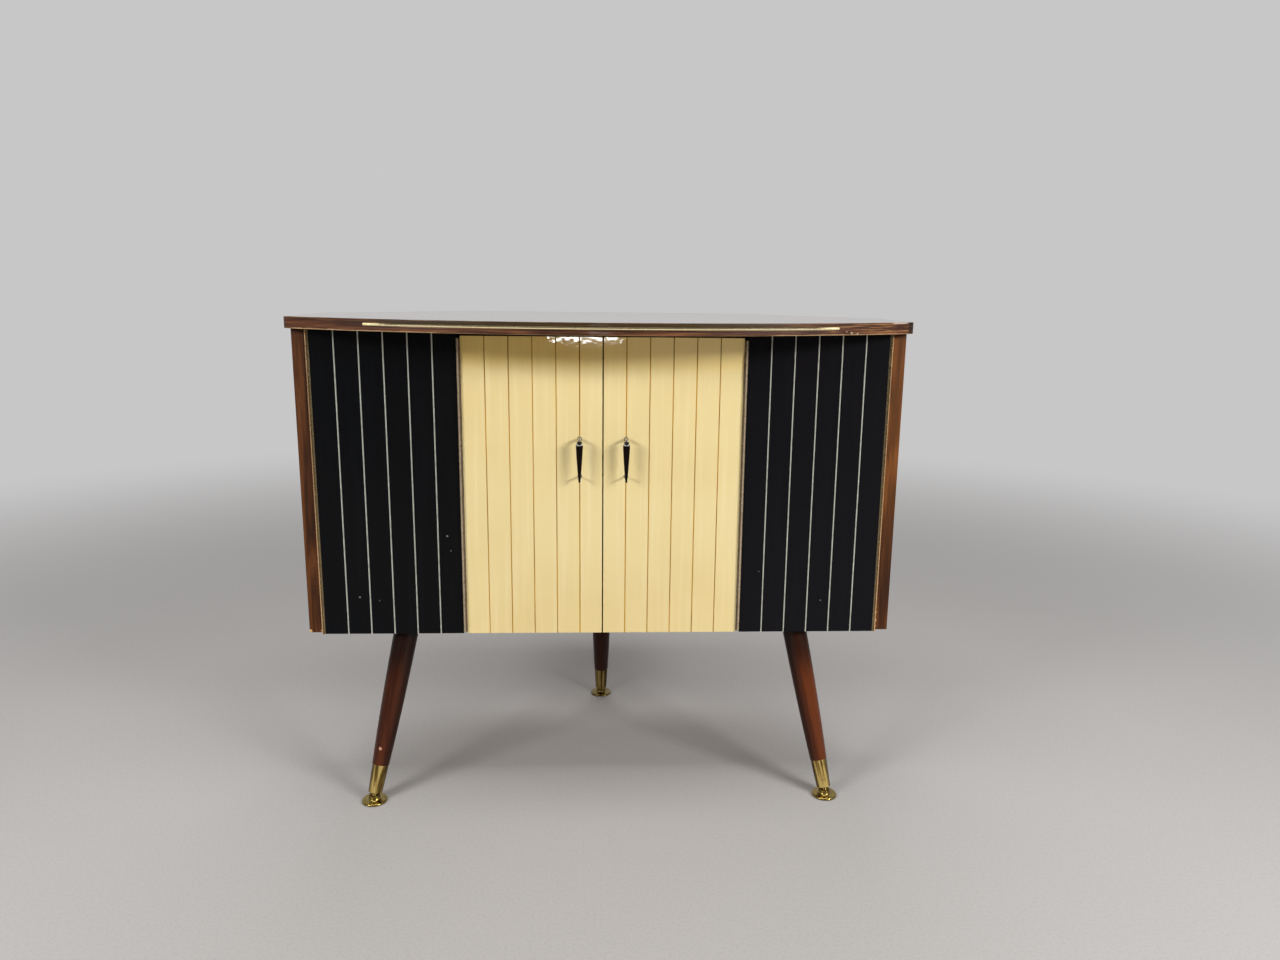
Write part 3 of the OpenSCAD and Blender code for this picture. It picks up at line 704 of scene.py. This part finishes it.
def collarReflections(finish, colour):
    # a painted highlight in a V on the collar over each grip, and a painted dark reflection on the neck
    # above it
    aside = abs(abs(finish.x) - gripMiddle.x)
    over = finish.z - gripHigh.z
    neck = over.band(*collar["neck"]) * (1 - aside.rise(*collar["neckReach"]))
    colour = finish.tint(neck, colour, collar["neckDarkReflection"])
    inFront = 1 - finish.y.rise(gripMiddle.y, gripMiddle.y + collar["shineDepth"])
    shine = (over - aside * collar["shineSlope"]).band(*collar["shine"]) * inFront
    shine = shine * (1 - aside.rise(*collar["shineReach"]))
    return finish.mix(shine, colour, collar["shineColour"])


def knuckleShade(finish, colour):
    # painted shade on the knuckles' side towards the door
    start, end = knuckles["doorSide"]
    dark = 1 - abs(finish.x).rise(pinMiddle.x - start, pinMiddle.x + end)
    start, end = knuckles["depth"]
    knuckle = 1 - finish.y.rise(pinMiddle.y + start, pinMiddle.y + end)
    return finish.tint(dark * knuckle, colour, knuckles["tone"])


def inlayShading(finish, colour):
    # olive tarnish and painted dark reflection on the upper part, which fade towards the ends
    start, end = inlay["upper"]
    upper = finish.z.rise(inlayLow.z + start, inlayLow.z + end)
    start, end = inlay["ends"]
    away = 1 - abs(finish.x).rise(inlayHigh.x - start, inlayHigh.x - end)
    return finish.tint(upper * away, colour, inlay["tarnishAndDarkReflection"])


# painted shade on the rear glide
def shadedRearGlide(finish, colour):
    return finish.tint(1, colour, rearGlideShade)


rearGlide = metal("glideBrass", shadedRearGlide)
hingeBrass = metal("hingeBrass", knuckleShade)
chrome = metal("chrome", collarReflections)
softened("top_inlay", inlay["edge"], [metal("inlayBrass", inlayShading)])
for side in ("left", "right"):
    for part in ("hinge_door_leaf", "hinge_panel_leaf", "hinge_pin"):
        dress(f"{part}_{side}", hingeBrass)
    dress(f"handle_grip_{side}", grip)
    dress(f"handle_arms_{side}", chrome)
    dress(f"strike_{side}", steel)
    softened(f"catch_{side}", catchEdge, [catchBody])

print("legs")

# outer and inner are distances from a leg's axis, away from the middle of the cabinet
legs = {
    # the outer tone is painted light; the inner, upper, head and rear tones are painted shade
    "outer": (-3 * mm, 5 * mm), "outerPaintedLight": (0.28, paint(142, 72, 30)),
    "inner": (-9 * mm, -1 * mm), "innerPaintedShade": (0.65, paint(24, 12, 8)),
    "upper": (0.06, 0.12), "upperPaintedShade": (0.3, paint(24, 12, 8)),
    "head": (0.16, 0.225), "headShadeTone": (0.8, paint(20, 9, 5)), "rearPaintedShade": (0.55, paint(24, 13, 9)),
    "nickHeight": 0.08, "nickAside": 5.5 * mm, "nickRadius": 2.6 * mm, "nickDepth": 2 * mm,
    "nickTone": (0.8, paint(214, 160, 130)),
}
ferrules = {
    # streaks are partly painted reflection, the sides a painted dark reflection, and the rear dim an
    # even painted shade
    "streaks": 190, "stretch": 30, "tarnishAndDarkReflection": (0.8, paint(66, 52, 20)),
    "polishAndHighlight": (0.8, paint(252, 222, 140)), "sides": (5 * mm, 10 * mm),
    "sideDarkReflection": (0.8, paint(52, 40, 12)), "dim": 0, "rearDim": 0.55,
}


def fromAxis(finish, foot, head):
    # how far a place is to the right of the line from foot to head
    slope = (head.x - foot.x) / (head.z - foot.z)
    return finish.x - finish.z * slope - (foot.x - foot.z * slope)


def legShade(foot, head):
    # painted shadow under the cabinet at the top, painted shade on the inner side, painted light on the
    # outer side of the right leg, and on the left leg painted shade on the upper part and a nick in
    # front
    height = legs["nickHeight"]
    middle = foot.lerp(head, (height - foot.z) / (head.z - foot.z))
    onRight = foot.x > 0

    def shade(finish, colour):
        outward = fromAxis(finish, foot, head) * math.copysign(1, foot.x)
        if onRight:
            colour = finish.tint(outward.rise(*legs["outer"]), colour, legs["outerPaintedLight"])
        else:
            colour = finish.tint(finish.z.rise(*legs["upper"]), colour, legs["upperPaintedShade"])
        colour = finish.tint(1 - outward.rise(*legs["inner"]), colour, legs["innerPaintedShade"])
        colour = finish.tint(finish.z.rise(*legs["head"]), colour, legs["headShadeTone"])
        if onRight:
            return colour
        nick = finish.spots(
            [(middle.x - legs["nickAside"], height, legs["nickRadius"])], finish.x, finish.z)
        inFront = 1 - finish.y.rise(middle.y - legs["nickDepth"], middle.y)
        return finish.tint(nick * inFront, colour, legs["nickTone"])
    return shade


def rearShade(finish, colour):
    return finish.tint(1, colour, legs["rearPaintedShade"])


def streaked(lean, foot, head, dim):
    # polish and tarnish in streaks along a leg's axis, partly painted reflection, a painted dark
    # reflection on the sides, and an even painted shade by dim
    def wearAndPaintedLight(finish, colour):
        streaks = finish.noise(
            finish.along(lean, ferrules["stretch"], foot), ferrules["streaks"], 2, 0.3)
        colour = finish.tint(streaks.rise(0.5, 0.62), colour, ferrules["tarnishAndDarkReflection"])
        colour = finish.tint(streaks.rise(0.54, 0.42), colour, ferrules["polishAndHighlight"])
        sides = abs(fromAxis(finish, foot, head)).rise(*ferrules["sides"])
        share, sideDarkReflection = ferrules["sideDarkReflection"]
        return finish.mix(sides * (share - dim) + dim, colour, sideDarkReflection)
    return wearAndPaintedLight


for where in ("front_left", "front_right", "rear"):
    atRear = where == "rear"
    low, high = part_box(f"leg_{where}")
    discLow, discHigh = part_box(f"glide_{where}")
    foot = (discLow + discHigh) / 2
    head = (low + high) / 2
    lean = tuple((head - foot).to_track_quat("Z", "Y").to_euler())
    shade = rearShade if atRear else legShade(foot, head)
    dress(f"leg_{where}", wood("legWood", lean, tuple(foot), shade))
    dim = ferrules["rearDim"] if atRear else ferrules["dim"]
    dress(f"ferrule_{where}", metal("brass", streaked(lean, foot, head, dim)))
    for part in ("glide", "glide_stem"):
        dress(f"{part}_{where}", rearGlide if atRear else glideBrass)
    dress(f"leg_plate_{where}", steel)
dress("leg_studs", steel)

print("screws and pins")
heads = {
    "hinge": {"radius": 2.2 * mm, "rise": 0.45 * mm, "slot": 0.6 * mm},
    "wood": {"radius": 3.2 * mm, "rise": 0.6 * mm, "slot": 0.8 * mm},
    "plate": {"radius": 4 * mm, "rise": 1.6 * mm, "slot": 1 * mm},
    "pin": {"radius": 1.3 * mm, "rise": 0.4 * mm, "slot": 0},
    "nail": {"radius": 1.9 * mm, "rise": 0.6 * mm, "slot": 0},
}
# turn is the angle in radians between one slot and the next
headShape = {"segments": 14, "taper": 0.72, "slotDepth": 0.7, "turn": 1.9}
fixings = {
    "hingeScrews": 8, "leafBack": 0.9 * mm, "leafDepth": 5.5 * mm, "handleInset": 5 * mm,
    "mouldingPins": 8, "pinSink": 0.15 * mm, "cleatScrews": 2, "rearCleatScrews": 3,
    "battenScrews": 4, "nailsUp": 7, "nailsAcross": 6, "nailInset": 0.04, "nailEdge": 9 * mm,
    "plateReach": 22 * mm, "plateFace": 2.5 * mm,
}


def addHead(shape, size, place, facing, turn):
    # a slotted head, flat on its place and facing outwards
    look = heads[size]
    head = bmesh.ops.create_cone(
        shape, cap_ends=True, segments=headShape["segments"], radius1=look["radius"],
        radius2=look["radius"] * headShape["taper"], depth=look["rise"])["verts"]
    if look["slot"]:
        edges = {edge for vert in head for edge in vert.link_edges}
        faces = {face for vert in head for face in vert.link_faces}
        for step in (-0.5, 0, 0.5):
            cut = bmesh.ops.bisect_plane(
                shape, geom=list(head) + list(edges) + list(faces), dist=1e-7,
                plane_co=(step * look["slot"], 0, 0), plane_no=(1, 0, 0))
            head = [part for part in cut["geom"] if isinstance(part, bmesh.types.BMVert)]
            edges = {part for part in cut["geom"] if isinstance(part, bmesh.types.BMEdge)}
            faces = {part for part in cut["geom"] if isinstance(part, bmesh.types.BMFace)}
        for vert in head:
            if abs(vert.co.x) < 1e-6 and vert.co.z > 0:
                vert.co.z -= look["rise"] * headShape["slotDepth"]
    way = Vector(facing)
    where = (
        Matrix.Translation(Vector(place) + way.normalized() * look["rise"] * 0.5)
        @ way.to_track_quat("Z", "Y").to_matrix().to_4x4()
        @ Matrix.Rotation(turn, 4, "Z"))
    bmesh.ops.transform(shape, matrix=where, verts=list(head))


def addScrews(name, body, material, size, places):
    # places are pairs of a place and the way that the head faces
    shape = bmesh.new()
    for number, (place, facing) in enumerate(places):
        addHead(shape, size, place, facing, number * headShape["turn"])
    addPiece(name, shape, body, [material])


def share(low, high, count, number):
    # the middle of one of count equal parts between low and high
    return low + (high - low) * (number + 0.5) / count


def spread(low, high, count):
    return [share(low, high, count, number) for number in range(count)]


def edgeNails(start, end, low, high, facing):
    # nails around the edge of an upright board whose outer face runs from start to end
    inset, edge = fixings["nailInset"], fixings["nailEdge"]
    levels = spread(low, high, fixings["nailsUp"])
    nails = [(place, level) for place in (inset, 1 - inset) for level in levels]
    places = spread(0, 1, fixings["nailsAcross"])
    nails += [(place, level) for place in places for level in (low + edge, high - edge)]
    return [((*Vector(start).lerp(Vector(end), place), level), facing) for place, level in nails]


for side, sign in (("left", -1), ("right", 1)):
    low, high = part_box(f"hinge_door_leaf_{side}")
    inner = low.x if sign > 0 else high.x
    depth = high.y - fixings["leafDepth"]
    addScrews(f"hinge_screws_door_{side}", f"{side}_door", hingeBrass, "hinge", [
        ((inner + sign * fixings["leafBack"], depth, level), (sign, 0, 0))
        for level in spread(low.z, high.z, fixings["hingeScrews"])])
    low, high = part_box(f"hinge_panel_leaf_{side}")
    outer = high.x if sign > 0 else low.x
    addScrews(f"hinge_screws_panel_{side}", "cabinet", hingeBrass, "hinge", [
        ((outer - sign * fixings["leafBack"], depth, level), (-sign, 0, 0))
        for level in spread(low.z, high.z, fixings["hingeScrews"])])
    low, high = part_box(f"handle_arms_{side}")
    armX = (low.x + high.x) / 2
    addScrews(f"handle_screws_{side}", f"{side}_door", steel, "wood", [
        ((armX, doorHigh.y, level), (0, 1, 0))
        for level in (low.z + fixings["handleInset"], high.z - fixings["handleInset"])])
    low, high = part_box(f"strike_{side}")
    addScrews(f"strike_screws_{side}", f"{side}_door", steel, "pin", [
        ((share(low.x, high.x, 4, number), high.y, (low.z + high.z) / 2), (0, 1, 0))
        for number in (0, 3)])
    low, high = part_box(f"edge_moulding_{side}")
    addScrews(f"moulding_pins_{side}", "cabinet", metal("moulding"), "pin", [
        (((low.x + high.x) / 2, low.y + fixings["pinSink"], level), (0, -1, 0))
        for level in spread(low.z, high.z, fixings["mouldingPins"])])
    low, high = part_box(f"shelf_cleat_{side}")
    face = low.x if sign > 0 else high.x
    addScrews(f"cleat_screws_{side}", "cabinet", steel, "wood", [
        ((face, depth, (low.z + high.z) / 2), (-sign, 0, 0))
        for depth in spread(low.y, high.y, fixings["cleatScrews"])])
    low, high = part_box(f"front_batten_{side}")
    face = low.x if sign > 0 else high.x
    addScrews(f"batten_screws_{side}", "cabinet", steel, "wood", [
        ((face, (low.y + high.y) / 2, level), (-sign, 0, 0))
        for level in spread(low.z, high.z, fixings["battenScrews"])])
low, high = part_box("shelf_cleat_rear")
addScrews("cleat_screws_rear", "cabinet", steel, "wood", [
    ((across, low.y, (low.z + high.z) / 2), (0, -1, 0))
    for across in spread(low.x, high.x, fixings["rearCleatScrews"])])
rearLow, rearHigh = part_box("rear_board")
outerX = rearHigh.x - (rearHigh.y - rearLow.y)
addScrews("rear_nails", "cabinet", steel, "nail", edgeNails(
    (-outerX, rearHigh.y), (outerX, rearHigh.y), rearLow.z, rearHigh.z, (0, 1, 0)))
for side, sign in (("left", -1), ("right", 1)):
    low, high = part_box(f"back_{side}")
    reach = max(high.x, -low.x)
    start, end = (sign * reach, high.y - reach + rearHigh.x), (sign * rearHigh.x, high.y)
    addScrews(f"back_nails_{side}", "cabinet", steel, "nail", edgeNails(
        start, end, low.z, high.z, (sign, 1, 0)))
for where in ("front_left", "front_right", "rear"):
    low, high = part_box(f"leg_plate_{where}")
    middle = (low + high) / 2
    reach = fixings["plateReach"]
    addScrews(f"plate_screws_{where}", "cabinet", steel, "plate", [
        ((middle.x + across, middle.y + along, high.z - fixings["plateFace"]), (0, 0, -1))
        for across in (-reach, reach) for along in (-reach, reach)])

print("studio")
floorLook = {
    "size": 14, "colour": paint(178, 175, 173), "speck": paint(140, 137, 135),
    "speckle": 260, "cloud": 2.2, "fade": (0.9, 3.2),
}
sky = {
    "far": paint(200, 199, 199), "light": 0.14, "front": 0.1, "behind": 0.62, "turn": (-0.35, 0.5),
    "window": 34, "windowToward": (-0.9, -0.8), "windowAcross": (-0.05, 0.022),
    "windowUp": (-0.0552, -0.0445), "windowSoft": 0.002,
}
lampAim = Vector((0, 0, 0.4))
lamps = {
    "leftLamp": {"swing": -46, "tilt": 21, "distance": 2.6, "width": 0.8, "height": 0.4, "power": 30},
    "rightLamp": {"swing": 46, "tilt": 20, "distance": 2.6, "width": 0.8, "height": 0.4, "power": 42},
    "topLamp": {"swing": 0, "tilt": 74, "distance": 2.6, "width": 2.4, "height": 0.6, "power": 40},
    "rearLamp": {"swing": 180, "tilt": 64, "distance": 3.0, "width": 2.0, "height": 1.0, "power": 26},
}


def makeFloor():
    # keeps the shadow near the cabinet, and fades to the backdrop's tone far from it
    shape = bmesh.new()
    bmesh.ops.create_grid(shape, x_segments=2, y_segments=2, size=floorLook["size"] / 2)
    mesh = bpy.data.meshes.new("floor")
    shape.to_mesh(mesh)
    shape.free()
    floor = bpy.data.objects.new("floor", mesh)
    bpy.context.scene.collection.objects.link(floor)
    finish = Finish("paleFloor", {"Roughness": 0.8})
    speckle = finish.noise(finish.place, floorLook["speckle"], 4)
    cloud = finish.noise(finish.place, floorLook["cloud"], 5, 0.5)
    specks = speckle.rise(0.4, 0.7) * 0.16 + cloud * 0.1
    finish.feed("Base Color", finish.mix(specks, floorLook["colour"], floorLook["speck"]))
    far = finish.node("ShaderNodeVectorMath", {"operation": "LENGTH"}, {0: finish.place}, "Value")
    glow = finish.node("ShaderNodeEmission", {}, {"Color": sky["far"], "Strength": 1.0})
    seen = finish.node("ShaderNodeLightPath", {}, {}, "Is Camera Ray")
    blend = finish.node("ShaderNodeMixShader", {}, {
        0: far.rise(*floorLook["fade"]) * seen, 1: Wire(finish, finish.surface.outputs[0]), 2: glow})
    finish.tree.links.new(blend.socket, finish.tree.nodes["Material Output"].inputs["Surface"])
    mesh.materials.append(finish.material)


def makeSky():
    # pale to the camera, plain as light, and in reflections pale behind the cabinet with a bright
    # window before it
    world = bpy.data.worlds.new("studio")
    bpy.context.scene.world = world
    world.use_nodes = True
    wiring = Wiring(world.node_tree)
    wiring.tree.nodes.clear()
    way = wiring.node("ShaderNodeTexCoord", {}, {}, "Generated")
    across, toward, up = (
        wiring.node("ShaderNodeSeparateXYZ", {}, {0: way}, letter) for letter in "XYZ")
    start, end = sky["turn"]
    behind = wiring.node(
        "ShaderNodeMapRange", {"interpolation_type": "SMOOTHSTEP"},
        {"Value": toward, "From Min": start, "From Max": end,
         "To Min": sky["front"], "To Max": sky["behind"]})
    window = (1 - toward.rise(*sky["windowToward"])) * sky["window"]
    soft = sky["windowSoft"]
    for axis, (first, last) in ((across, sky["windowAcross"]), (up, sky["windowUp"])):
        window = window * axis.rise(first, first + soft) * (1 - axis.rise(last - soft, last))

    def glow(colour, strength):
        return wiring.node("ShaderNodeBackground", {}, {"Color": colour, "Strength": strength})

    white = (1, 1, 1, 1)
    plain = glow(white, sky["light"])
    mirrored = glow(white, behind + window)
    seen = glow(sky["far"], 1.0)
    glossy = wiring.node("ShaderNodeLightPath", {}, {}, "Is Glossy Ray")
    camera = wiring.node("ShaderNodeLightPath", {}, {}, "Is Camera Ray")
    light = wiring.node("ShaderNodeMixShader", {}, {0: glossy, 1: plain, 2: mirrored})
    whole = wiring.node("ShaderNodeMixShader", {}, {0: camera, 1: light, 2: seen})
    wiring.node("ShaderNodeOutputWorld", {}, {"Surface": whole})


def makeLamp(name, look):
    # swing is to the right of the front, tilt above the floor, in degrees
    turn = math.radians(look["swing"])
    rise = math.radians(look["tilt"])
    away = Vector((math.sin(turn) * math.cos(rise), -math.cos(turn) * math.cos(rise), math.sin(rise)))
    data = bpy.data.lights.new(name, "AREA")
    data.shape = "RECTANGLE"
    data.size = look["width"]
    data.size_y = look["height"]
    data.energy = look["power"]
    lamp = bpy.data.objects.new(name, data)
    bpy.context.scene.collection.objects.link(lamp)
    lamp.location = lampAim + away * look["distance"]
    lamp.rotation_euler = away.to_track_quat("Z", "Y").to_euler()


makeFloor()
makeSky()
for name, look in lamps.items():
    makeLamp(name, look)

# metres, degrees and millimetres
view = {"place": (-0.0076, -1.3664, 0.731), "yaw": -2.685, "pitch": -11.68, "roll": 0.66, "lens": 26.156}
lens = bpy.data.cameras.new("camera")
lens.lens = view["lens"]
lens.sensor_width = 36
lens.sensor_fit = "HORIZONTAL"
camera = bpy.data.objects.new("camera", lens)
bpy.context.scene.collection.objects.link(camera)
camera.matrix_world = (
    Matrix.Translation(view["place"])
    @ Matrix.Rotation(math.radians(view["yaw"]), 4, "Z")
    @ Matrix.Rotation(math.radians(90 + view["pitch"]), 4, "X")
    @ Matrix.Rotation(math.radians(view["roll"]), 4, "Z"))
bpy.context.scene.camera = camera
bpy.context.scene.view_settings.view_transform = "Standard"

print("finished")
